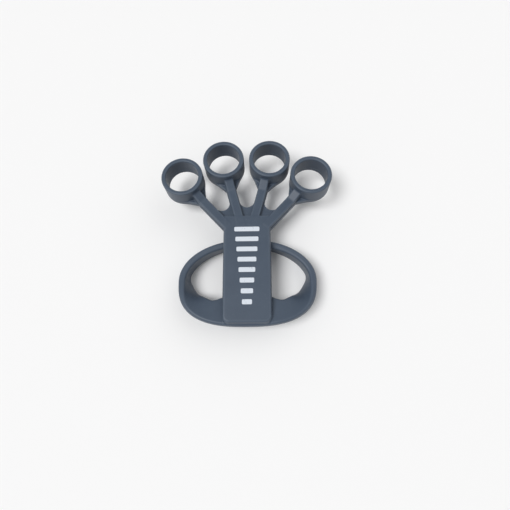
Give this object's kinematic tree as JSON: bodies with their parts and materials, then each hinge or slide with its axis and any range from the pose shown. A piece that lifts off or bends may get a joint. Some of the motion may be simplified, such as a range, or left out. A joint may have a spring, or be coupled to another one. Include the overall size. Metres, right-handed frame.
{
  "type": "finger exerciser",
  "caption": "One-piece silicone hand trainer: a palm plate, stretchy arms that each end in a finger ring, and a loop for the hand behind the plate.",
  "frame": {"origin": "centre of the bounding box's footprint, on the surface that the hand loop's edge stands on", "axes": "+X to the right seen from the front, +Y from the plate's lower end towards the finger rings, +Z out of the plate's front face"},
  "size_m": [0.1096, 0.1203, 0.0284],
  "materials": {
    "silicone": "matte",
    "print": "matte"
  },
  "bodies": {
    "palm": {"palm_web": "silicone", "palm_pad": "silicone", "level_mark": "print"},
    "index_arm": {"index_arm": "silicone"},
    "index_ring": {"index_gusset": "silicone", "index_ring": "silicone"},
    "middle_arm": {"middle_arm": "silicone"},
    "middle_ring": {"middle_gusset": "silicone", "middle_ring": "silicone"},
    "fourth_arm": {"fourth_arm": "silicone"},
    "fourth_ring": {"fourth_gusset": "silicone", "fourth_ring": "silicone"},
    "little_arm": {"little_arm": "silicone"},
    "little_ring": {"little_gusset": "silicone", "little_ring": "silicone"},
    "hand_loop": {"loop_root_left": "silicone", "loop_root_right": "silicone", "loop_band": "silicone"}
  },
  "joints": [
    {"name": "index_stretch", "type": "slide", "parent": "palm", "child": "index_arm", "axis": [-0.6778, 0.7352, 0], "range_m": [0, 0.012], "stiffness_N_per_m": 600},
    {"name": "index_bend", "type": "hinge", "parent": "index_arm", "child": "index_ring", "pos_m": [-0.02828, 0.02051, 0.0179], "axis": [0.7352, 0.6778, 0], "range_deg": [-30, 45], "stiffness_Nm_per_rad": 0.08},
    {"name": "middle_stretch", "type": "slide", "parent": "palm", "child": "middle_arm", "axis": [-0.2536, 0.9673, 0], "range_m": [0, 0.012], "stiffness_N_per_m": 600},
    {"name": "middle_bend", "type": "hinge", "parent": "middle_arm", "child": "middle_ring", "pos_m": [-0.01005, 0.02799, 0.0179], "axis": [0.9673, 0.2536, 0], "range_deg": [-30, 45], "stiffness_Nm_per_rad": 0.08},
    {"name": "fourth_stretch", "type": "slide", "parent": "palm", "child": "fourth_arm", "axis": [0.2536, 0.9673, 0], "range_m": [0, 0.012], "stiffness_N_per_m": 600},
    {"name": "fourth_bend", "type": "hinge", "parent": "fourth_arm", "child": "fourth_ring", "pos_m": [0.01005, 0.02799, 0.0179], "axis": [0.9673, -0.2536, 0], "range_deg": [-30, 45], "stiffness_Nm_per_rad": 0.08},
    {"name": "little_stretch", "type": "slide", "parent": "palm", "child": "little_arm", "axis": [0.6778, 0.7352, 0], "range_m": [0, 0.012], "stiffness_N_per_m": 600},
    {"name": "little_bend", "type": "hinge", "parent": "little_arm", "child": "little_ring", "pos_m": [0.02828, 0.02051, 0.0179], "axis": [0.7352, -0.6778, 0], "range_deg": [-30, 45], "stiffness_Nm_per_rad": 0.08},
    {"name": "hand_loop_open", "type": "hinge", "parent": "palm", "child": "hand_loop", "pos_m": [0, -0.05115, 0.0144], "axis": [-1, 0, 0], "range_deg": [0, 80], "stiffness_Nm_per_rad": 1}
  ]
}
